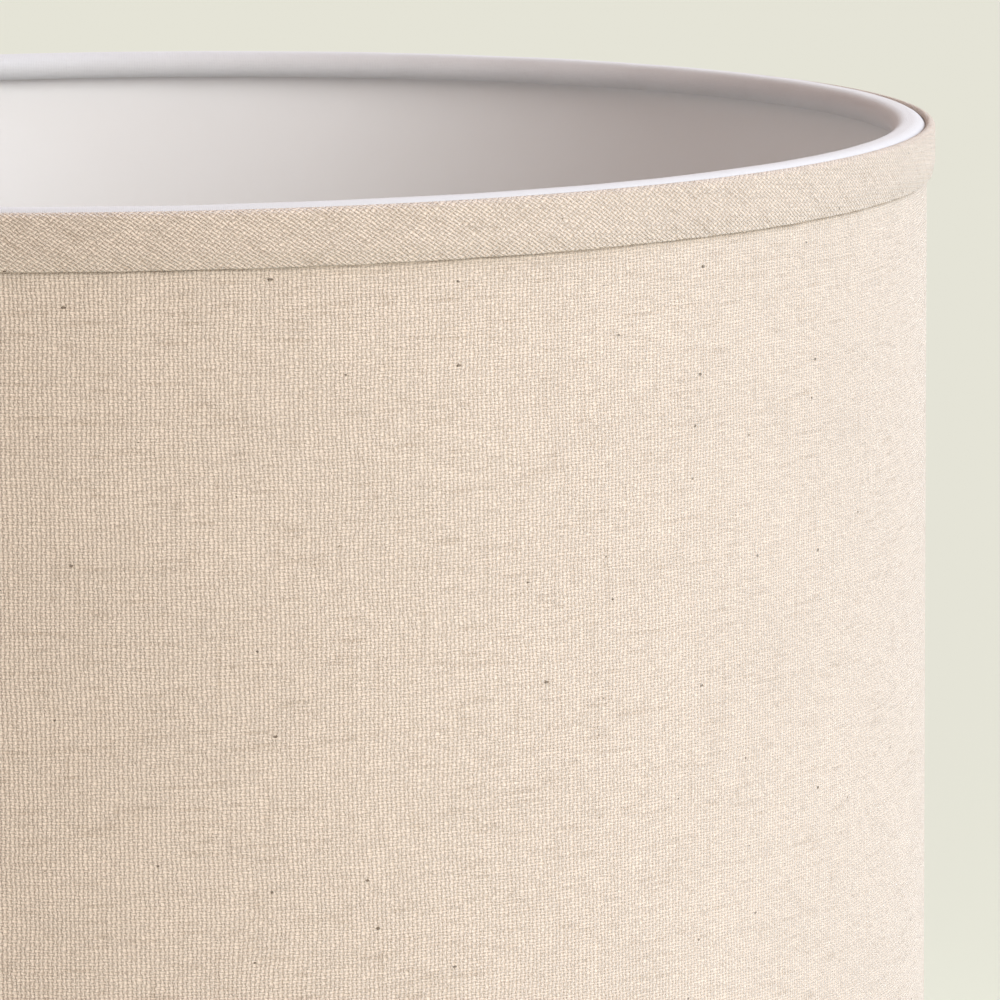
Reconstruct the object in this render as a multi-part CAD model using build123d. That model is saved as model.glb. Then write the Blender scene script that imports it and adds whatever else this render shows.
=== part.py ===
from build123d import *

import math
import os

# A hard-lined drum lamp shade, standing on its bottom rim. Millimetres, +Z up, origin at the
# middle of the bottom rim's standing circle. Each section below is drawn as (radius, height).

# Driving dimensions of the drum
BODY_R = 175.0  # outer face of the fabric cover
HEIGHT = 230.0  # crest of the bottom rim to crest of the top rim
FABRIC_T = 0.5  # one layer of the woven cover
LINING_T = 0.5  # rolled white plastic sheet that stiffens the fabric
GAP = 0.03  # glue line between parts that touch

# Rims: a wire ring inside the lining's edge, held by a white tape and finished with bias trim
WIRE_R = 2.0
TAPE_ROLL_T = 1.2  # the folded tape where it goes round the wire
TAPE_TAIL_T = 0.5  # its single layer on the outside of the cover
TAPE_TAIL_END = 10.6  # how far below the crest the tail ends
TAPE_SLIT = 0.25  # the tape's tucked edge stops this short of the round it has made
STANDING_FLAT = 0.06  # how much the roll is pressed flat along its crest
PANEL_EDGE = 2.2  # edge of the cover and the lining below the crest
TRIM_HEM = 12.0  # lower edge of the bias trim below the crest
TRIM_TOP = 0.55  # rounded upper shoulder of the trim below the crest
TRIM_FACE_R = 176.9  # outer face of the trim
TRIM_HEM_R = 176.6  # outer face at its turned-under lower edge

# Vertical seam, where one end of the rolled panel laps over the other
SEAM_AZIMUTH = 150.0  # degrees from +X, the folded edge of the lap
SEAM_LAP = 12.0  # width of the lap along the surface
SEAM_ROOT = 2.5  # width of the stretch where the lap rises off the panel
SEAM_TAPE_T = 0.2
SEAM_LAP_T = 0.7

# Spider: three arms that rise from the bottom ring to the fitter ring
ARM_AZIMUTHS = (90.0, 210.0, 330.0)
ARM_WIRE_R = 1.75
ARM_LEVEL_R = 156.0  # the arm runs level from the ring to here
ARM_KNEE_R = 44.0  # and from here level again to the fitter
ARM_TOP_Z = 31.0
ARM_BEND_R = 16.0
FITTER_BORE_R = 21.0  # 42 mm hole for an E27 lampholder
FITTER_R = 28.0
FITTER_T = 1.5
FITTER_SKIRT_T = 1.2
FITTER_SKIRT_H = 6.5
FITTER_TOP_Z = 34.0

# Reducer: a plastic ring that drops into the fitter for a 28 mm B22 lampholder
REDUCER_BORE_R = 14.5
REDUCER_FLANGE_R = 24.5
REDUCER_FLANGE_T = 1.6
REDUCER_SPIGOT_R = 20.5
REDUCER_SPIGOT_T = 1.8
REDUCER_COLLAR_T = 1.6
REDUCER_DEPTH = 5.0
REDUCER_WEB_T = 1.6
REDUCER_RIBS = 8
REDUCER_RIB_R = 20.93
REDUCER_RIB_W = 2.4
SEAT_GAP = 0.05

# Worked out from the above
LINING_R = BODY_R - FABRIC_T
INNER_R = LINING_R - LINING_T
ROLL_R = WIRE_R + TAPE_ROLL_T
RING_R = INNER_R - ROLL_R
RING_Z = ROLL_R - STANDING_FLAT
TAIL_R = BODY_R + TAPE_TAIL_T
MIRROR = Plane.XY.offset(HEIGHT / 2)


def turned(section):
    """Revolve a section, drawn as radius and height, about the drum's axis."""
    return revolve(Plane.XZ * section, Axis.Z)


def tube(outer_r, inner_r, low_z, high_z):
    """A plain tube on the drum's axis."""
    width = outer_r - inner_r
    section = Pos(inner_r + width / 2, (low_z + high_z) / 2) * Rectangle(width, high_z - low_z)
    return turned(section)


def sector(outer_r, inner_r, low_z, high_z, start, sweep):
    """A piece of a tube that covers sweep degrees, from start."""
    width = outer_r - inner_r
    section = Pos(inner_r + width / 2, (low_z + high_z) / 2) * Rectangle(width, high_z - low_z)
    return Rot(0, 0, start) * revolve(Plane.XZ * section, Axis.Z, sweep)


def arc_degrees(width):
    """The angle that a width covers on the drum's surface."""
    return math.degrees(width / BODY_R)


def lining_panel():
    return tube(LINING_R - GAP, INNER_R, PANEL_EDGE, HEIGHT - PANEL_EDGE)


def seam_lap():
    """The panel's free end, which lies over its start, and the root that joins the two."""
    low_z = PANEL_EDGE
    high_z = HEIGHT - PANEL_EDGE
    outer_r = BODY_R + SEAM_TAPE_T + SEAM_LAP_T
    lap = sector(outer_r, BODY_R + SEAM_TAPE_T, low_z, high_z, SEAM_AZIMUTH, arc_degrees(SEAM_LAP))
    root_start = SEAM_AZIMUTH + arc_degrees(SEAM_LAP - SEAM_ROOT)
    root = sector(outer_r, BODY_R - FABRIC_T / 2, low_z, high_z, root_start, arc_degrees(SEAM_ROOT))
    return lap + root


def seam_space():
    """The room that the trims and tapes leave for the lap where they cross it."""
    low_z = PANEL_EDGE - GAP
    high_z = HEIGHT - PANEL_EDGE + GAP
    outer_r = BODY_R + SEAM_TAPE_T + SEAM_LAP_T + GAP
    start = SEAM_AZIMUTH - arc_degrees(GAP)
    return sector(outer_r, BODY_R - FABRIC_T / 2, low_z, high_z, start, arc_degrees(SEAM_LAP + 2 * GAP))


def cover_fabric():
    return tube(BODY_R, LINING_R, PANEL_EDGE, HEIGHT - PANEL_EDGE) + seam_lap()


def seam_tape():
    width = SEAM_LAP - SEAM_ROOT - 1.0
    start = SEAM_AZIMUTH + arc_degrees(0.5)
    inner_r = BODY_R + GAP
    outer_r = BODY_R + SEAM_TAPE_T - GAP
    return sector(outer_r, inner_r, PANEL_EDGE, HEIGHT - PANEL_EDGE, start, arc_degrees(width))


def bottom_ring():
    return Pos(0, 0, RING_Z) * Torus(RING_R, WIRE_R)


def bottom_ring_tape():
    """From its tucked edge round the wire, over the panel's edge and down outside the cover."""
    slit = Pos(ROLL_R - TAPE_ROLL_T / 2, 0.3 * ROLL_R) * Rectangle(2 * TAPE_ROLL_T, TAPE_SLIT)
    roll = Pos(RING_R, RING_Z) * (Circle(ROLL_R - GAP) - Circle(WIRE_R + GAP) - slit)
    edge_z = PANEL_EDGE - GAP
    shoulder_z = edge_z - TAPE_TAIL_T
    tail_inner_r = BODY_R + GAP
    tail = make_face(
        Polyline(
            (INNER_R - 0.7, edge_z),
            (tail_inner_r, edge_z),
            (tail_inner_r, TAPE_TAIL_END),
            (TAIL_R, TAPE_TAIL_END),
            (TAIL_R, shoulder_z + 0.25),
            (TAIL_R - 0.25, shoulder_z),
            (INNER_R - 0.7, shoulder_z),
            close=True,
        )
    )
    pressed_off = Pos(RING_R, -1) * Rectangle(4 * ROLL_R, 2)
    return turned(roll + tail - pressed_off)


def bottom_trim():
    """Folded bias tape: a rounded shoulder on the rim and a turned-under hem on the cover."""
    tail_face_r = TAIL_R + GAP
    crevice = (INNER_R + 0.45, 1.55)
    shoulder = (BODY_R + 0.55, TRIM_TOP)
    outside = (TRIM_FACE_R, TRIM_TOP + 1.6)
    outline = Polyline(
        outside,
        (TRIM_FACE_R, TRIM_HEM - 2.5),
        (TRIM_HEM_R, TRIM_HEM - 0.5),
        (TRIM_HEM_R - 0.4, TRIM_HEM),
        (BODY_R + GAP, TRIM_HEM),
        (BODY_R + GAP, TAPE_TAIL_END + GAP),
        (tail_face_r, TAPE_TAIL_END + GAP),
        (tail_face_r, PANEL_EDGE - TAPE_TAIL_T),
        (TAIL_R - 0.25, PANEL_EDGE - TAPE_TAIL_T - 2 * GAP),
        crevice,
    )
    back = ThreePointArc(crevice, (BODY_R - 0.2, TRIM_TOP + 0.25), shoulder)
    front = ThreePointArc(shoulder, (TRIM_FACE_R - 0.38, TRIM_TOP + 0.46), outside)
    return turned(make_face(outline + back + front))


def spider_arm(azimuth):
    """One bent wire arm, its ends cut to the ring and to the fitter's skirt."""
    path = FilletPolyline(
        (RING_R, 0, RING_Z),
        (ARM_LEVEL_R, 0, RING_Z),
        (ARM_KNEE_R, 0, ARM_TOP_Z),
        (FITTER_R - 1, 0, ARM_TOP_Z),
        radius=ARM_BEND_R,
    )
    wire = sweep(Plane(origin=path @ 0, z_dir=path % 0) * Circle(ARM_WIRE_R), path=path)
    wire = wire - bottom_ring() - Cylinder(FITTER_R + GAP, 4 * FITTER_TOP_Z)
    return Rot(0, 0, azimuth) * wire


def arm_notch(azimuth):
    """The space that the tape leaves round an arm where it comes off the ring."""
    clearance = 0.15
    notch = Cylinder(ARM_WIRE_R + clearance, 2 * ROLL_R)
    return Rot(0, 0, azimuth) * Pos(RING_R - ROLL_R, 0, RING_Z) * Rot(0, 90, 0) * notch


def fitter_ring():
    """A flat pressed washer with a skirt turned down at its edge."""
    washer = tube(FITTER_R, FITTER_BORE_R, FITTER_TOP_Z - FITTER_T, FITTER_TOP_Z)
    skirt = tube(FITTER_R, FITTER_R - FITTER_SKIRT_T, FITTER_TOP_Z - FITTER_SKIRT_H, FITTER_TOP_Z)
    pressed = washer + skirt
    rim = pressed.edges().filter_by(GeomType.CIRCLE)
    top_edge = rim.filter_by(lambda edge: abs(edge.radius - FITTER_R) < 0.01).sort_by(Axis.Z)[-1]
    return fillet(top_edge, 1.0)


def reducer_ring():
    """Flange on the fitter, ribbed spigot inside its hole, and a collar round the small hole."""
    seat_z = FITTER_TOP_Z + SEAT_GAP
    top_z = seat_z + REDUCER_FLANGE_T
    foot_z = top_z - REDUCER_FLANGE_T - REDUCER_DEPTH
    flange = tube(REDUCER_FLANGE_R, REDUCER_BORE_R, seat_z, top_z)
    spigot = tube(REDUCER_SPIGOT_R, REDUCER_SPIGOT_R - REDUCER_SPIGOT_T, foot_z, seat_z)
    collar = tube(REDUCER_BORE_R + REDUCER_COLLAR_T, REDUCER_BORE_R, foot_z, seat_z)
    ring = flange + spigot + collar
    rims = ring.edges().filter_by(GeomType.CIRCLE)
    flange_edge = rims.filter_by(lambda edge: abs(edge.radius - REDUCER_FLANGE_R) < 0.01)
    ring = fillet(flange_edge.sort_by(Axis.Z)[-1], 0.7)
    rib_depth = REDUCER_RIB_R - REDUCER_SPIGOT_R + 1.0
    rib = Pos(REDUCER_RIB_R - rib_depth / 2, 0, (foot_z + seat_z) / 2) * Box(
        rib_depth, REDUCER_RIB_W, seat_z - foot_z
    )
    web_length = REDUCER_SPIGOT_R - REDUCER_BORE_R - REDUCER_COLLAR_T
    web = Pos(REDUCER_BORE_R + REDUCER_COLLAR_T + web_length / 2 - 0.6, 0, (foot_z + seat_z) / 2) * Box(
        web_length, REDUCER_WEB_T, seat_z - foot_z
    )
    round_limit = Cylinder(REDUCER_RIB_R, 4 * FITTER_TOP_Z)
    for index in range(REDUCER_RIBS):
        turn = Rot(0, 0, 360 * index / REDUCER_RIBS)
        ring = ring + turn * (rib & round_limit)
        ring = ring + turn * web
    return ring


def main():
    tape = bottom_ring_tape() - seam_space()
    trim = bottom_trim() - seam_space()
    notched_tape = tape
    for azimuth in ARM_AZIMUTHS:
        notched_tape = notched_tape - arm_notch(azimuth)
    nodes = {
        "cover_fabric": cover_fabric(),
        "lining_panel": lining_panel(),
        "seam_tape": seam_tape(),
        "bottom_ring": bottom_ring(),
        "top_ring": mirror(bottom_ring(), about=MIRROR),
        "bottom_ring_tape": notched_tape,
        "top_ring_tape": mirror(tape, about=MIRROR),
        "bottom_trim": trim,
        "top_trim": mirror(trim, about=MIRROR),
        "fitter_ring": fitter_ring(),
        "reducer_ring": reducer_ring(),
    }
    for number, azimuth in enumerate(ARM_AZIMUTHS, start=1):
        nodes[f"spider_arm_{number}"] = spider_arm(azimuth)
    os.makedirs("parts", exist_ok=True)
    for name, solid in nodes.items():
        export_step(solid, f"parts/{name}.step")


main()
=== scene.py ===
import math

import bpy
from mathutils import Matrix, Vector, noise


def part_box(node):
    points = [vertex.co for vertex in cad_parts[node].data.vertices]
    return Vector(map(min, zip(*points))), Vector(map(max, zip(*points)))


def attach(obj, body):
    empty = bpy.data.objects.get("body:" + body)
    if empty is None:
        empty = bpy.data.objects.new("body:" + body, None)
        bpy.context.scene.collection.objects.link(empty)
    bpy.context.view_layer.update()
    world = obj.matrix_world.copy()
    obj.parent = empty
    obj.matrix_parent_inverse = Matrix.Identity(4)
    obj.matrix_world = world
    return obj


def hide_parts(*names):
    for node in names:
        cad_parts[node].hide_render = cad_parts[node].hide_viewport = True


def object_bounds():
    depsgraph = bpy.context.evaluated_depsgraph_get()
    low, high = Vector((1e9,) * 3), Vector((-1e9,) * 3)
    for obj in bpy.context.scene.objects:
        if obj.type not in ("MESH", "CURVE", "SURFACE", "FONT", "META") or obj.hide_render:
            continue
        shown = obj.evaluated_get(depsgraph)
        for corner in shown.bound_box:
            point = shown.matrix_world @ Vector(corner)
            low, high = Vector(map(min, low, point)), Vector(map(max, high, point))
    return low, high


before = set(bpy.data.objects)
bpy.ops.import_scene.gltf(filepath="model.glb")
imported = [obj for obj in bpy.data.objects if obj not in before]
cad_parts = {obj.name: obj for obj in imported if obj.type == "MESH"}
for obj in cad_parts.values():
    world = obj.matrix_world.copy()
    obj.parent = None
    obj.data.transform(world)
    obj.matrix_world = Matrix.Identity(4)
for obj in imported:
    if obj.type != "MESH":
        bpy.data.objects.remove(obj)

cad_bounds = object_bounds()

MM = 0.001

# The drum's driving sizes, read off the frame's parts
cover_low, cover_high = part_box("cover_fabric")
trim_low, trim_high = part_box("top_trim")
roll_low, roll_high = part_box("top_ring_tape")
wire_low, wire_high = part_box("top_ring")
TOP_Z = cad_bounds[1][2]
COVER_R = cover_high.x
PANEL_EDGE = cover_low.z
TRIM_R = trim_high.x
TRIM_DEPTH = TOP_Z - trim_low.z
TRIM_TOP = TOP_Z - trim_high.z
TAIL_R = roll_high.x
TAIL_DEPTH = TOP_Z - roll_low.z
WIRE_R = (wire_high.z - wire_low.z) / 2
RING_R = wire_high.x - WIRE_R
RING_DEPTH = TOP_Z - (wire_high.z - WIRE_R)
ROLL_R = RING_DEPTH

CLOTH_T = 0.5 * MM
LINING_T = 0.5 * MM
TAPE_T = 0.5 * MM
TAPE_BRIDGE = 1.2 * MM  # how far the tape's crest carries on outwards past the ring
TRIM_CLOTH_T = 0.36 * MM
GLUE = 0.03 * MM

# The rolled panels, their vertical lap and the sheets' cut sizes
AROUND = 2 * math.pi * COVER_R
SEAM_AZIMUTH = 150.0  # degrees, the folded free edge of the panel's lap
LAP_WIDTH = 12.0 * MM
LAP_ANGLE = math.degrees(LAP_WIDTH / COVER_R)
LAP_RISE = 1.15 * MM  # how far the lap's outer face stands off the drum
LAP_CLIMB = 5.0  # degrees over which the panel climbs onto its own start
LAP_START_GAP = 0.5  # degrees the covered end stops short of the lap's full width
PANEL_END = SEAM_AZIMUTH - 360.0
PANEL_LEVELS = 58  # rows of points up the drum
PANEL_RIPPLE = 0.05 * MM

# The rims' sections
RIM_STEPS = 720
SHARP_PANEL = 40  # degrees, corners sharper than this stay hard
SHARP_RIM = 50
TAPE_TUCK_ANGLE = 18  # degrees below level, where the tucked edge lies behind the ring
TAPE_TURN_R = 0.25 * MM  # where it turns down outside the cover
TAPE_SWELL = ((9.0, 0.10 * MM), (40.0, 0.03 * MM))
TRIM_JOIN_AZIMUTH = 162.0
TRIM_JOIN_WIDTH = 3.0  # degrees
TRIM_JOIN_RISE = 0.5 * MM
TRIM_FOLD_R = 0.38 * MM  # half the thickness of the turned-up hem
TRIM_SHOULDER_R = 1.3 * MM
TRIM_HEM_TAPER = 3.0 * MM  # the face draws in over this much above the hem
TRIM_LIP = ((-0.42, 0.73), (-0.26, 0.35), (0.1, 0.08))  # mm out from the tape, mm below the top
TRIM_PUFF = ((5.0, 0.10 * MM), (34.0, 0.05 * MM))
TRIM_HEM_WAVE = ((7.0, 0.22 * MM), (30.0, 0.12 * MM), (110.0, 0.05 * MM))

# The linen
WARP_PITCH = 0.90 * MM
WEFT_PITCH = 0.64 * MM
LIGHT_YARN = (0.787, 0.661, 0.556)
DARK_YARN = (0.44, 0.335, 0.245)
# painted shade: the dark colour laid into the hollows between the linen's threads
PIT_SHADE = (0.19, 0.13, 0.085)
HUSK = (0.12, 0.08, 0.045)
SLUB_DEPTH = 0.46  # how far a full weft slub goes towards DARK_YARN
FLECK_SCALE = 74.0  # cells per metre up the drum, and 0.7 of that round it
FLECK_CUTOFF = 0.4  # a cell whose random number is under this holds no fleck
FLECK_SMALLEST = 0.004
FLECK_LARGEST = 0.024
THREAD_BEND = 2.4  # threads, the broad wander of a thread's line
THREAD_KINK = 0.9  # threads, its close wander
THREAD_VARY = 0.3  # half pitches, how much thicker or thinner a thread gets along its length
CROWN_SHARE = 0.72  # of a thread's height, its round crown
WAVE_SHARE = 0.28  # and its way over and under the others


# ---------------------------------------------------------------- camera

CAMERA_DISTANCE = 1.3333  # metres in front of the drum's axis
CAMERA_HEIGHT = 0.1302  # above the rim
CAMERA_YAW = 3.489  # degrees to the right
CAMERA_PITCH = 9.195  # degrees down
CAMERA_ROLL = -0.454
CAMERA_LENS = 219.04  # mm
CAMERA_SENSOR = 36.0  # mm
CAMERA_CLIP = (0.05, 60.0)


def add_camera():
    yaw = math.radians(CAMERA_YAW)
    pitch = math.radians(CAMERA_PITCH)
    roll = math.radians(CAMERA_ROLL)
    forward = Vector(
        (math.sin(yaw) * math.cos(pitch), math.cos(yaw) * math.cos(pitch), -math.sin(pitch))
    )
    level = Vector((math.cos(yaw), -math.sin(yaw), 0))
    upright = level.cross(forward)
    right = math.cos(roll) * level + math.sin(roll) * upright
    up = math.cos(roll) * upright - math.sin(roll) * level
    data = bpy.data.cameras.new("camera")
    data.sensor_width = CAMERA_SENSOR
    data.lens = CAMERA_LENS
    data.clip_start, data.clip_end = CAMERA_CLIP
    camera = bpy.data.objects.new("camera", data)
    turn = Matrix((right, up, -forward)).transposed().to_4x4()
    camera.matrix_world = Matrix.Translation((0, -CAMERA_DISTANCE, TOP_Z + CAMERA_HEIGHT)) @ turn
    bpy.context.scene.collection.objects.link(camera)
    bpy.context.scene.camera = camera


# ---------------------------------------------------------------- stage and light sizes

SOFTBOX_SPREAD = 34  # degrees across, as the drum sees each softbox
KEY_AZIMUTH = 40
KEY_ELEVATION = 20
KEY_STRENGTH = 2.35
KEY_COLOUR = (0.96, 1.0, 1.0)
SIDE_AZIMUTH = 95
SIDE_ELEVATION = 30
SIDE_STRENGTH = 1.55
SIDE_COLOUR = (0.78, 0.98, 1.22)
BACK_AZIMUTH = 155
BACK_ELEVATION = 30
BACK_STRENGTH = 0.9
BACK_COLOUR = (0.97, 0.97, 1.0)
ROOM_STRENGTH = 0.42
ROOM_COLOUR = (1.24, 0.95, 0.83)
FLOOR_COLOUR = (0.714, 0.748, 0.647)
FLOOR_RADIUS = 40.0
FLOOR_SIDES = 128
FLOOR_DROP = 0.0002  # below the shade's lowest point


# ---------------------------------------------------------------- node graphs


def rgba(colour):
    """A colour socket as it is, or three numbers with their alpha."""
    if isinstance(colour, bpy.types.NodeSocket):
        return colour
    return (*colour, 1.0)


class Graph:
    """Short calls for building a material's node tree."""

    def __init__(self, name):
        self.material = bpy.data.materials.new(name)
        self.material.use_nodes = True
        self.tree = self.material.node_tree
        self.tree.nodes.clear()
        self.shader = self.tree.nodes.new("ShaderNodeBsdfPrincipled")
        output = self.tree.nodes.new("ShaderNodeOutputMaterial")
        self.tree.links.new(self.shader.outputs[0], output.inputs["Surface"])

    def feed(self, socket, value):
        if isinstance(value, bpy.types.NodeSocket):
            self.tree.links.new(value, socket)
        else:
            socket.default_value = value

    def math(self, operation, *values):
        node = self.tree.nodes.new("ShaderNodeMath")
        node.operation = operation
        for socket, value in zip(node.inputs, values):
            self.feed(socket, value)
        return node.outputs[0]

    def add(self, a, b):
        return self.math("ADD", a, b)

    def sub(self, a, b):
        return self.math("SUBTRACT", a, b)

    def mul(self, a, b):
        return self.math("MULTIPLY", a, b)

    def fit(self, value, low, high, out_low=0.0, out_high=1.0, smooth=True):
        node = self.tree.nodes.new("ShaderNodeMapRange")
        node.interpolation_type = "SMOOTHSTEP" if smooth else "LINEAR"
        for name, number in (
            ("Value", value),
            ("From Min", low),
            ("From Max", high),
            ("To Min", out_low),
            ("To Max", out_high),
        ):
            self.feed(node.inputs[name], number)
        return node.outputs[0]

    def vector(self, x, y, z=0.0):
        node = self.tree.nodes.new("ShaderNodeCombineXYZ")
        for socket, value in zip(node.inputs, (x, y, z)):
            self.feed(socket, value)
        return node.outputs[0]

    def split(self, vector):
        node = self.tree.nodes.new("ShaderNodeSeparateXYZ")
        self.feed(node.inputs[0], vector)
        return node.outputs

    def cloth_point(self):
        """The place on the flat cloth, in metres along and across it."""
        node = self.tree.nodes.new("ShaderNodeUVMap")
        node.uv_map = "cloth"
        parts = self.split(node.outputs["UV"])
        return parts[0], parts[1]

    def object_point(self):
        return self.tree.nodes.new("ShaderNodeTexCoord").outputs["Object"]

    def noise(self, point, scale, detail=2.0, roughness=0.5):
        node = self.tree.nodes.new("ShaderNodeTexNoise")
        self.feed(node.inputs["Vector"], point)
        node.inputs["Scale"].default_value = scale
        node.inputs["Detail"].default_value = detail
        node.inputs["Roughness"].default_value = roughness
        return node.outputs["Fac"]

    def cells(self, point, scale):
        node = self.tree.nodes.new("ShaderNodeTexVoronoi")
        node.voronoi_dimensions = "2D"
        self.feed(node.inputs["Vector"], point)
        node.inputs["Scale"].default_value = scale
        return node.outputs["Distance"], node.outputs["Color"]

    def mix(self, factor, a, b):
        node = self.tree.nodes.new("ShaderNodeMix")
        node.data_type = "RGBA"
        self.feed(node.inputs["Factor"], factor)
        self.feed(node.inputs["A"], rgba(a))
        self.feed(node.inputs["B"], rgba(b))
        return node.outputs["Result"]

    def scale_colour(self, colour, factor):
        node = self.tree.nodes.new("ShaderNodeVectorMath")
        node.operation = "SCALE"
        self.feed(node.inputs[0], colour)
        self.feed(node.inputs["Scale"], factor)
        return node.outputs[0]

    def bump(self, height, depth):
        node = self.tree.nodes.new("ShaderNodeBump")
        node.inputs["Distance"].default_value = depth
        node.inputs["Strength"].default_value = 1.0
        self.feed(node.inputs["Height"], height)
        return node.outputs[0]

    def finish(self, colour, roughness, normal=None, **fixed):
        self.feed(self.shader.inputs["Base Color"], rgba(colour))
        self.feed(self.shader.inputs["Roughness"], roughness)
        if normal is not None:
            self.feed(self.shader.inputs["Normal"], normal)
        for name, value in fixed.items():
            self.shader.inputs[name.replace("_", " ")].default_value = value
        return self.material


def plain_weave(graph, across, along, warp_pitch, weft_pitch, warp_width, weft_width):
    """A plain weave: its height, whether the warp is on top, each thread's number, and its tone.

    across is measured over the warp threads and along over the weft threads.
    """
    place = graph.vector(across, along)
    bend_a = graph.noise(place, 30.0, 2.0)
    bend_b = graph.noise(graph.vector(along, across, 3.7), 36.0, 2.0)
    kink_a = graph.noise(place, 520.0, 2.0)
    kink_b = graph.noise(graph.vector(across, along, 8.1), 520.0, 2.0)
    warp_count = graph.math("DIVIDE", across, warp_pitch)
    weft_count = graph.math("DIVIDE", along, weft_pitch)
    warp_count = graph.add(warp_count, graph.mul(graph.sub(bend_a, 0.5), THREAD_BEND))
    weft_count = graph.add(weft_count, graph.mul(graph.sub(bend_b, 0.5), THREAD_BEND))
    warp_count = graph.add(warp_count, graph.mul(graph.sub(kink_a, 0.5), THREAD_KINK))
    weft_count = graph.add(weft_count, graph.mul(graph.sub(kink_b, 0.5), THREAD_KINK))
    warp_index = graph.math("FLOOR", warp_count)
    weft_index = graph.math("FLOOR", weft_count)
    in_warp = graph.sub(graph.mul(graph.math("FRACT", warp_count), 2.0), 1.0)
    in_weft = graph.sub(graph.mul(graph.math("FRACT", weft_count), 2.0), 1.0)
    parity = graph.math("FRACT", graph.mul(graph.add(warp_index, weft_index), 0.5))
    sign = graph.sub(1.0, graph.mul(parity, 4.0))

    # each thread is thicker and thinner along its length
    warp_point = graph.vector(graph.mul(warp_index, 7.31), graph.mul(along, 420.0))
    weft_point = graph.vector(graph.mul(across, 330.0), graph.mul(weft_index, 5.77), 9.1)
    warp_life = graph.noise(warp_point, 1.0, 2.0, 0.6)
    weft_life = graph.noise(weft_point, 1.0, 2.0, 0.6)
    warp_half = graph.fit(
        warp_life, 0.25, 0.75, warp_width - THREAD_VARY, warp_width + THREAD_VARY, smooth=False
    )
    weft_half = graph.fit(
        weft_life, 0.25, 0.75, weft_width - THREAD_VARY, weft_width + THREAD_VARY, smooth=False
    )

    def thread(place, half, wave):
        ratio = graph.math("DIVIDE", place, half)
        crown = graph.math("MAXIMUM", graph.sub(1.0, graph.mul(ratio, ratio)), 0.0)
        return graph.add(
            graph.mul(graph.math("SQRT", crown), CROWN_SHARE), graph.mul(wave, WAVE_SHARE)
        )

    warp_wave = graph.mul(sign, graph.math("COSINE", graph.mul(in_weft, math.pi / 2)))
    weft_wave = graph.mul(
        graph.mul(sign, -1.0), graph.math("COSINE", graph.mul(in_warp, math.pi / 2))
    )
    warp_height = thread(in_warp, warp_half, warp_wave)
    weft_height = thread(in_weft, weft_half, weft_wave)
    height = graph.math("MAXIMUM", warp_height, weft_height)
    warp_on_top = graph.math("GREATER_THAN", warp_height, weft_height)
    tone = graph.add(
        graph.mul(warp_life, warp_on_top), graph.mul(weft_life, graph.sub(1.0, warp_on_top))
    )
    return height, warp_on_top, warp_index, weft_index, tone


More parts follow.
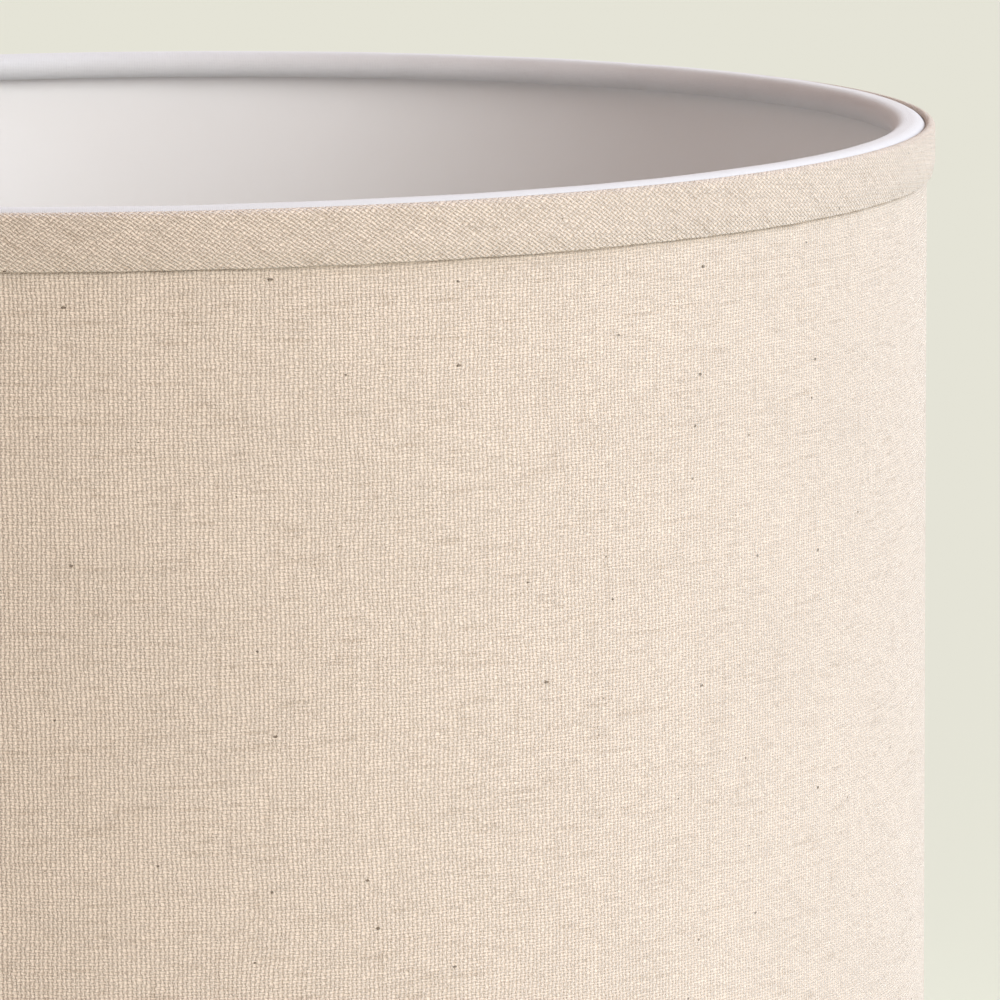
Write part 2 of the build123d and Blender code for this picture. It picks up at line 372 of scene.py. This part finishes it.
def linen(name, bias, warp_width, weft_width, pit_shade_strength, relief_depth):
    """Natural beige linen-look cloth in plain weave, straight or cut on the bias.

    bias gives the lean of the weft and the warp in degrees.
    """
    graph = Graph(name)
    u, v = graph.cloth_point()
    across, along = u, v
    if bias:
        weft_lean, warp_lean = (math.radians(angle) for angle in bias)
        along = graph.sub(graph.mul(v, math.cos(weft_lean)), graph.mul(u, math.sin(weft_lean)))
        across = graph.add(graph.mul(v, math.cos(warp_lean)), graph.mul(u, math.sin(warp_lean)))
    height, warp_on_top, warp_index, weft_index, tone = plain_weave(
        graph, across, along, WARP_PITCH, WEFT_PITCH, warp_width, weft_width
    )

    # long thin slubs, a thread wide: mostly along the weft, a few along the warp
    weft_run = graph.vector(graph.mul(across, 95.0), graph.mul(weft_index, 3.91))
    weft_slub = graph.noise(weft_run, 1.0, 3.0, 0.6)
    warp_run = graph.vector(graph.mul(warp_index, 4.63), graph.mul(along, 60.0), 4.0)
    warp_slub = graph.noise(warp_run, 1.0, 3.0, 0.6)
    weft_dark = graph.fit(weft_slub, 0.50, 0.74)
    warp_dark = graph.fit(warp_slub, 0.55, 0.80)
    weft_on_top = graph.sub(1.0, warp_on_top)
    weft_share = graph.add(0.45, graph.mul(weft_on_top, 0.55))
    warp_share = graph.add(0.35, graph.mul(warp_on_top, 0.45))
    dark = graph.add(graph.mul(weft_dark, weft_share), graph.mul(warp_dark, warp_share))

    # broad unevenness of the yarn and the dye
    flat = graph.vector(u, v)
    cloud = graph.noise(flat, 24.0, 4.0, 0.6)
    patch = graph.noise(flat, 170.0, 3.0, 0.65)
    fibre = graph.noise(flat, 3600.0, 2.0, 0.6)

    yarn = graph.mix(graph.mul(dark, SLUB_DEPTH), LIGHT_YARN, DARK_YARN)
    # painted shade: where the weave dips between threads, the colour darkens towards the dark pit
    # colour as if in shadow, by the strength argument and a noise that varies it
    depth = graph.fit(height, 0.0, 0.66)
    pit_shade_noise = graph.noise(flat, 760.0, 2.0, 0.5)
    pit_shade_spread = graph.fit(pit_shade_noise, 0.3, 0.7, 0.35, 1.65, smooth=False)
    pit_shade = graph.mul(graph.mul(graph.sub(1.0, depth), pit_shade_strength), pit_shade_spread)
    colour = graph.mix(pit_shade, yarn, PIT_SHADE)
    fine_shade = graph.add(graph.mul(fibre, 0.07), graph.mul(patch, 0.08))
    shade = graph.add(graph.mul(cloud, 0.10), fine_shade)
    shade = graph.add(shade, graph.mul(tone, 0.09))
    colour = graph.scale_colour(colour, graph.add(0.83, shade))

    # sparse dark flecks of husk caught in the yarn
    place = graph.vector(
        graph.add(graph.mul(u, 0.7), graph.mul(patch, 0.002)),
        graph.add(v, graph.mul(fibre, 0.0005)),
    )
    near, tint = graph.cells(place, FLECK_SCALE)
    pick = graph.split(tint)[0]
    size = graph.fit(pick, FLECK_CUTOFF, 1.0, FLECK_SMALLEST, FLECK_LARGEST, smooth=False)
    picked = graph.math("GREATER_THAN", pick, FLECK_CUTOFF)
    fleck = graph.mul(graph.math("LESS_THAN", near, size), picked)
    colour = graph.mix(graph.mul(fleck, 0.8), colour, HUSK)

    relief = graph.add(height, graph.mul(graph.sub(fibre, 0.5), 0.4))
    normal = graph.bump(relief, relief_depth)
    return graph.finish(
        colour,
        0.9,
        normal,
        Sheen_Weight=0.7,
        Sheen_Roughness=0.4,
        Specular_IOR_Level=0.1,
    )


def cotton_tape():
    """Soft white tape with a fine close weave."""
    graph = Graph("white_cotton_tape")
    u, v = graph.cloth_point()
    height = plain_weave(graph, u, v, 0.42 * MM, 0.36 * MM, 0.9, 0.9)[0]
    cloud = graph.noise(graph.vector(u, v), 60.0, 4.0, 0.6)
    # painted shade: the weave's low hollows between threads are coloured a darker grey than the
    # thread tops
    colour = graph.mix(graph.fit(height, 0.0, 0.7), (0.54, 0.545, 0.56), (0.672, 0.677, 0.697))
    colour = graph.scale_colour(colour, graph.add(0.94, graph.mul(cloud, 0.1)))
    normal = graph.bump(height, 0.05 * MM)
    return graph.finish(
        colour,
        0.85,
        normal,
        Sheen_Weight=0.3,
        Sheen_Roughness=0.4,
        Specular_IOR_Level=0.2,
    )


def lining_sheet():
    """Smooth white lampshade sheet with a faint grain and soft handling marks."""
    graph = Graph("lining_sheet")
    point = graph.object_point()
    grain = graph.noise(point, 900.0, 3.0, 0.6)
    cloud = graph.noise(point, 14.0, 3.0, 0.5)
    colour = graph.mix(cloud, (0.765, 0.757, 0.755), (0.80, 0.792, 0.79))
    roughness = graph.add(0.5, graph.mul(grain, 0.2))
    normal = graph.bump(graph.add(graph.mul(grain, 0.3), cloud), 0.04 * MM)
    return graph.finish(colour, roughness, normal, Specular_IOR_Level=0.3)


def powder_coat():
    """White powder coat on wire: fine orange peel, a little thin over high spots."""
    graph = Graph("powder_coat")
    point = graph.object_point()
    peel = graph.noise(point, 1400.0, 2.0, 0.5)
    cloud = graph.noise(point, 120.0, 4.0, 0.6)
    worn = graph.fit(graph.noise(point, 420.0, 5.0, 0.7), 0.66, 0.74)
    colour = graph.mix(cloud, (0.76, 0.76, 0.74), (0.84, 0.84, 0.82))
    colour = graph.mix(graph.mul(worn, 0.35), colour, (0.45, 0.44, 0.42))
    normal = graph.bump(peel, 0.05 * MM)
    return graph.finish(colour, graph.add(0.34, graph.mul(cloud, 0.16)), normal)


def moulded_plastic():
    """White polypropylene with the fine texture of its mould and faint flow lines."""
    graph = Graph("moulded_plastic")
    point = graph.object_point()
    grain = graph.noise(point, 2600.0, 2.0, 0.6)
    flow = graph.noise(point, 160.0, 3.0, 0.5)
    colour = graph.mix(flow, (0.82, 0.82, 0.80), (0.87, 0.87, 0.86))
    normal = graph.bump(graph.add(grain, flow), 0.02 * MM)
    roughness = graph.add(0.38, graph.mul(grain, 0.12))
    return graph.finish(
        colour,
        roughness,
        normal,
        Subsurface_Weight=0.15,
        Subsurface_Scale=0.003,
    )


def adhesive():
    """Clear double-sided tape, slightly yellow."""
    graph = Graph("adhesive")
    cloud = graph.noise(graph.object_point(), 300.0, 3.0, 0.5)
    colour = graph.mix(cloud, (0.74, 0.70, 0.60), (0.80, 0.77, 0.68))
    return graph.finish(colour, 0.35)


# ---------------------------------------------------------------- sheets and strips


def wobble(azimuth, seed, *waves):
    """A smooth closed wave round the drum. Each wave is (how fine it is, its size)."""
    angle = math.radians(azimuth)
    total = 0.0
    for rate, size in waves:
        point = Vector((rate * math.cos(angle), rate * math.sin(angle), seed))
        total += size * noise.noise(point)
    return total


def grid_mesh(name, rows, uv_rows, closed_along):
    """A mesh from rows of points, each row a closed section.

    closed_along joins the last row to the first. Otherwise both ends are capped.
    """
    count = len(rows)
    width = len(rows[0])
    vertices = [point for row in rows for point in row]
    faces = []
    uvs = []
    for i in range(count if closed_along else count - 1):
        j = (i + 1) % count
        for k in range(width):
            m = (k + 1) % width
            faces.append((i * width + k, j * width + k, j * width + m, i * width + m))
            uvs += [uv_rows[i][k], uv_rows[i + 1][k], uv_rows[i + 1][k + 1], uv_rows[i][k + 1]]
    if not closed_along:
        faces.append(tuple(range(width)))
        uvs += [uv_rows[0][k] for k in range(width)]
        last = (count - 1) * width
        faces.append(tuple(last + k for k in reversed(range(width))))
        uvs += [uv_rows[count - 1][k] for k in reversed(range(width))]
    mesh = bpy.data.meshes.new(name)
    mesh.from_pydata(vertices, [], faces)
    layer = mesh.uv_layers.new(name="cloth")
    for loop, uv in zip(layer.data, uvs):
        loop.uv = uv
    mesh.polygons.foreach_set("use_smooth", [True] * len(mesh.polygons))
    piece = bpy.data.objects.new(name, mesh)
    bpy.context.scene.collection.objects.link(piece)
    return piece


def smooth_by_angle(piece, degrees):
    """Hard edges stay hard: corners sharper than degrees are split in shading."""
    mesh = piece.data
    mesh.update()
    limit = math.cos(math.radians(degrees))
    normals = [polygon.normal.copy() for polygon in mesh.polygons]
    faces_at = {}
    for index, polygon in enumerate(mesh.polygons):
        for key in polygon.edge_keys:
            faces_at.setdefault(key, []).append(index)
    for edge in mesh.edges:
        pair = faces_at[edge.key]
        if len(pair) == 2 and normals[pair[0]].dot(normals[pair[1]]) < limit:
            edge.use_edge_sharp = True


def path_length(points):
    """Running length along a list of 2-D points, starting at 0."""
    total = [0.0]
    for a, b in zip(points, points[1:]):
        total.append(total[-1] + math.dist(a, b))
    return total


def panel_azimuths():
    """Where the rolled panel's columns stand, from its covered end round to its folded edge."""
    angles = []
    angle = SEAM_AZIMUTH + LAP_ANGLE - LAP_START_GAP
    while angle > PANEL_END:
        angles.append(angle)
        near_seam = angle > SEAM_AZIMUTH - 6 or angle < PANEL_END + 16
        angle -= 0.2 if near_seam else 0.5
    angles.append(PANEL_END)
    return angles


def panel_rise(azimuth):
    """How far the panel stands off the drum as it climbs over its own start."""
    climb_from = PANEL_END + LAP_ANGLE + LAP_CLIMB
    climb_to = PANEL_END + LAP_ANGLE
    share = min(1.0, max(0.0, (climb_from - azimuth) / (climb_from - climb_to)))
    return LAP_RISE * share * share * (3 - 2 * share)


def rolled_panel(name, outer_r, thickness, seed):
    """One sheet rolled into the drum, with a real overlap at the seam."""
    azimuths = panel_azimuths()
    low_z = PANEL_EDGE
    high_z = TOP_Z - PANEL_EDGE
    step_count = PANEL_LEVELS - 1
    heights = [low_z + (high_z - low_z) * k / step_count for k in range(PANEL_LEVELS)]
    rows = []
    uv_rows = []
    for azimuth in azimuths:
        angle = math.radians(azimuth)
        rise = panel_rise(azimuth)
        along = (azimuths[0] - azimuth) * math.pi / 180 * COVER_R
        section = []
        uv = []
        for side, order in ((outer_r, heights), (outer_r - thickness, heights[::-1])):
            for z in order:
                place = Vector((6 * math.cos(angle), 6 * math.sin(angle), 9 * z + seed))
                radius = side + rise + PANEL_RIPPLE * noise.noise(place)
                section.append((radius * math.cos(angle), radius * math.sin(angle), z))
                uv.append((-along, z))
        rows.append(section)
        uv_rows.append(uv + [uv[0]])
    piece = grid_mesh(name, rows, uv_rows, closed_along=False)
    smooth_by_angle(piece, SHARP_PANEL)
    return piece


def swept_section(name, section_at):
    """A closed section carried round the rim. section_at gives its (radius, z) points."""
    rows = []
    uv_rows = []
    for i in range(RIM_STEPS):
        azimuth = 360.0 * i / RIM_STEPS + TRIM_JOIN_AZIMUTH
        angle = math.radians(azimuth)
        section = section_at(azimuth)
        across = path_length(section + [section[0]])
        rows.append([(r * math.cos(angle), r * math.sin(angle), z) for r, z in section])
        along = math.radians(360.0 * i / RIM_STEPS) * COVER_R
        uv_rows.append([(along, s) for s in across])
    first = uv_rows[0]
    uv_rows.append([(AROUND, s) for _, s in first])
    piece = grid_mesh(name, rows, uv_rows, closed_along=True)
    smooth_by_angle(piece, SHARP_RIM)
    return piece


def arc(centre, radius, start, end, steps):
    """Points on an arc, angles in degrees."""
    points = []
    for k in range(steps + 1):
        angle = math.radians(start + (end - start) * k / steps)
        points.append((centre[0] + radius * math.cos(angle), centre[1] + radius * math.sin(angle)))
    return points


def line(a, b, steps):
    """Points from a towards b, without b."""
    return [
        (a[0] + (b[0] - a[0]) * k / steps, a[1] + (b[1] - a[1]) * k / steps)
        for k in range(steps)
    ]


def to_rim(points, at_top):
    """Section points are drawn as radius and depth below the crest."""
    if at_top:
        return [(r, TOP_Z - d) for r, d in points]
    return points[::-1]


def tape_section(azimuth, seed):
    """The white tape: tucked behind the ring, rolled over it and glued down outside the cover."""
    swell = wobble(azimuth, seed, *TAPE_SWELL)
    centre = (RING_R, RING_DEPTH)
    outer = ROLL_R - GLUE + swell
    inner = WIRE_R + GLUE
    shoulder = PANEL_EDGE - GLUE - TAPE_T
    edge = PANEL_EDGE - GLUE
    meet = math.degrees(math.asin((RING_DEPTH - shoulder) / outer))
    meet_inner = math.degrees(math.asin((RING_DEPTH - edge) / inner))
    points = arc(centre, outer, TAPE_TUCK_ANGLE, 270, 32)
    points += arc((RING_R + TAPE_BRIDGE, RING_DEPTH), outer, 270, 360 - meet, 12)
    turn = TAPE_TURN_R
    points += line(points[-1], (TAIL_R - turn, shoulder), 3)[1:]
    points += arc((TAIL_R - turn, shoulder + turn), turn, -90, 0, 4)
    points += line((TAIL_R, shoulder + 2 * turn), (TAIL_R, TAIL_DEPTH), 6)
    points += line((TAIL_R, TAIL_DEPTH), (COVER_R + GLUE, TAIL_DEPTH), 1)
    points += line((COVER_R + GLUE, TAIL_DEPTH), (COVER_R + GLUE, edge), 6)
    points += line((COVER_R + GLUE, edge), (RING_R + inner + 0.6 * MM, edge), 3)
    points += arc(centre, inner, 360 - meet_inner, TAPE_TUCK_ANGLE, 36)
    return points


def thicken(path, thickness):
    """A closed section from an open path: the path, then back along its offset to the right."""
    inner = []
    for k, point in enumerate(path):
        before = path[max(0, k - 1)]
        after = path[min(len(path) - 1, k + 1)]
        run = math.dist(before, after)
        across = ((after[1] - before[1]) / run, -(after[0] - before[0]) / run)
        inner.append((point[0] - across[0] * thickness, point[1] - across[1] * thickness))
    return path + inner[::-1]


def trim_section(azimuth, seed):
    """Bias trim: round shoulder on the rim, flat face, hem folded under and laid up behind it."""
    puff = wobble(azimuth, seed, *TRIM_PUFF)
    hem = TRIM_DEPTH + wobble(azimuth, seed + 3, *TRIM_HEM_WAVE)
    face_r = TRIM_R + puff + join_rise(azimuth)
    behind = TAIL_R + GLUE
    fold = TRIM_FOLD_R
    hem_r = behind + 2 * fold + join_rise(azimuth)
    shoulder_r = TRIM_SHOULDER_R
    shoulder = (face_r - shoulder_r, TRIM_TOP + shoulder_r)
    lip = RING_R + ROLL_R + TAPE_BRIDGE
    path = [(lip + out * MM, TRIM_TOP + down * MM) for out, down in TRIM_LIP]
    path += arc(shoulder, shoulder_r, -90, 0, 7)
    path += line((face_r, TRIM_TOP + 2.0 * shoulder_r), (face_r, hem - TRIM_HEM_TAPER), 6)
    path += line((face_r, hem - TRIM_HEM_TAPER), (hem_r, hem - fold), 3)
    path += arc((hem_r - fold, hem - fold), fold, 0, 180, 8)
    path += line((behind, hem - fold - 0.3 * MM), (behind, PANEL_EDGE + 1.0 * MM), 5)
    return thicken(path, TRIM_CLOTH_T)


def join_rise(azimuth):
    """The trim's folded end lies over its start: a short raised step."""
    past = (azimuth - TRIM_JOIN_AZIMUTH) % 360.0
    if past > TRIM_JOIN_WIDTH:
        return 0.0
    step_up = min(1.0, past / 0.25)
    slope_down = min(1.0, (TRIM_JOIN_WIDTH - past) / 1.2 + 0.15)
    return TRIM_JOIN_RISE * step_up * slope_down


# ---------------------------------------------------------------- stage and lights


def add_floor():
    graph = Graph("studio_floor")
    material = graph.finish(FLOOR_COLOUR, 0.9, Specular_IOR_Level=0.0)
    mesh = bpy.data.meshes.new("floor")
    turns = [2 * math.pi * k / FLOOR_SIDES for k in range(FLOOR_SIDES)]
    ring = [(FLOOR_RADIUS * math.cos(turn), FLOOR_RADIUS * math.sin(turn), 0.0) for turn in turns]
    mesh.from_pydata(ring, [], [tuple(range(FLOOR_SIDES))])
    mesh.materials.append(material)
    floor = bpy.data.objects.new("floor", mesh)
    floor.location.z = cad_bounds[0][2] - FLOOR_DROP
    bpy.context.scene.collection.objects.link(floor)


def add_light():
    """Three broad softboxes, right of the camera, beside the drum and behind it, in a plain room."""
    world = bpy.data.worlds.new("studio")
    world.use_nodes = True
    background = world.node_tree.nodes["Background"]
    background.inputs["Color"].default_value = (*ROOM_COLOUR, 1.0)
    background.inputs["Strength"].default_value = ROOM_STRENGTH
    bpy.context.scene.world = world
    bpy.context.scene.view_settings.view_transform = "Standard"

    add_softbox("key", KEY_AZIMUTH, KEY_ELEVATION, KEY_STRENGTH, KEY_COLOUR)
    add_softbox("side", SIDE_AZIMUTH, SIDE_ELEVATION, SIDE_STRENGTH, SIDE_COLOUR)
    add_softbox("back", BACK_AZIMUTH, BACK_ELEVATION, BACK_STRENGTH, BACK_COLOUR)


def add_softbox(name, azimuth, elevation, strength, colour):
    data = bpy.data.lights.new(name, "SUN")
    data.energy = strength
    data.angle = math.radians(SOFTBOX_SPREAD)
    data.color = colour
    light = bpy.data.objects.new(name, data)
    light.rotation_euler = aim(azimuth, elevation).to_track_quat("Z", "Y").to_euler()
    bpy.context.scene.collection.objects.link(light)


def aim(azimuth, elevation):
    """The direction from the drum to a light azimuth degrees to the right of the front."""
    turn = math.radians(azimuth)
    rise = math.radians(elevation)
    level = math.cos(rise)
    return Vector((math.sin(turn) * level, -math.cos(turn) * level, math.sin(rise)))


# ---------------------------------------------------------------- the shade


def dress(piece, material, replaced):
    """The piece's material, the body it rides on and the CAD node it stands for."""
    piece.data.materials.append(material)
    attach(piece, "shade")
    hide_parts(replaced)


def main():
    add_camera()
    add_floor()
    add_light()

    straight = linen(
        "linen_straight",
        bias=None,
        warp_width=0.70,
        weft_width=0.62,
        pit_shade_strength=0.07,
        relief_depth=0.44 * MM,
    )
    bias = linen(
        "linen_bias",
        bias=(34, 38),
        warp_width=0.54,
        weft_width=0.64,
        pit_shade_strength=0.20,
        relief_depth=0.48 * MM,
    )
    tape_cloth = cotton_tape()
    sheet_white = lining_sheet()

    cover = rolled_panel("cover_cloth", COVER_R, CLOTH_T, 1.0)
    dress(cover, straight, "cover_fabric")
    lining = rolled_panel("lining_sheet", COVER_R - CLOTH_T - GLUE, LINING_T - GLUE, 1.0)
    dress(lining, sheet_white, "lining_panel")

    for end, at_top, seed in (("top", True, 11.0), ("bottom", False, 23.0)):
        tape = swept_section(f"{end}_rim_tape", lambda a: to_rim(tape_section(a, seed), at_top))
        dress(tape, tape_cloth, f"{end}_ring_tape")
        trim = swept_section(f"{end}_bias_trim", lambda a: to_rim(trim_section(a, seed), at_top))
        dress(trim, bias, f"{end}_trim")

    metal = powder_coat()
    plastic = moulded_plastic()
    clear = adhesive()
    finishes = {
        "top_ring": metal,
        "bottom_ring": metal,
        "fitter_ring": metal,
        "spider_arm_1": metal,
        "spider_arm_2": metal,
        "spider_arm_3": metal,
        "reducer_ring": plastic,
        "seam_tape": clear,
    }
    for name, material in finishes.items():
        for material_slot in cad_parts[name].material_slots:
            material_slot.material = material


main()
